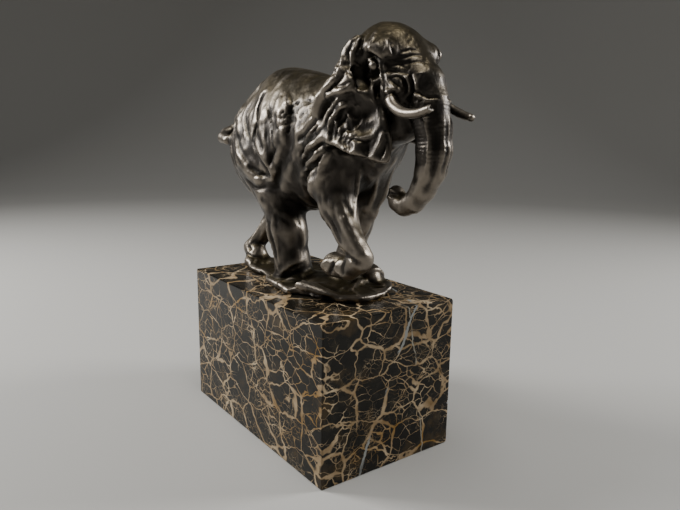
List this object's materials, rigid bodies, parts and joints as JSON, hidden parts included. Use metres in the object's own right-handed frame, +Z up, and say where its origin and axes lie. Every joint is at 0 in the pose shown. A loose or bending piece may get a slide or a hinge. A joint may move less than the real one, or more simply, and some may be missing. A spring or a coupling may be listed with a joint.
{
  "type": "bronze elephant sculpture",
  "caption": "Striding elephant cast in dark patinated bronze with a strip of rough ground, standing on a rectangular block of dark, gold-veined marble.",
  "frame": {"origin": "centre of the plinth's underside, where the sculpture rests", "axes": "+Z up, +X the way the elephant walks along the plinth's long side, +Y the elephant's left"},
  "size_m": [0.2309, 0.102, 0.2649],
  "materials": {
    "bronze": "dark brown bronze patina, satin, rubbed to olive and gold on the high places",
    "marble": "polished brown-black marble with a net of tan and gold veins"
  },
  "bodies": {
    "root": {"elephant_bronze": "bronze", "marble_plinth": "marble"}
  },
  "joints": []
}
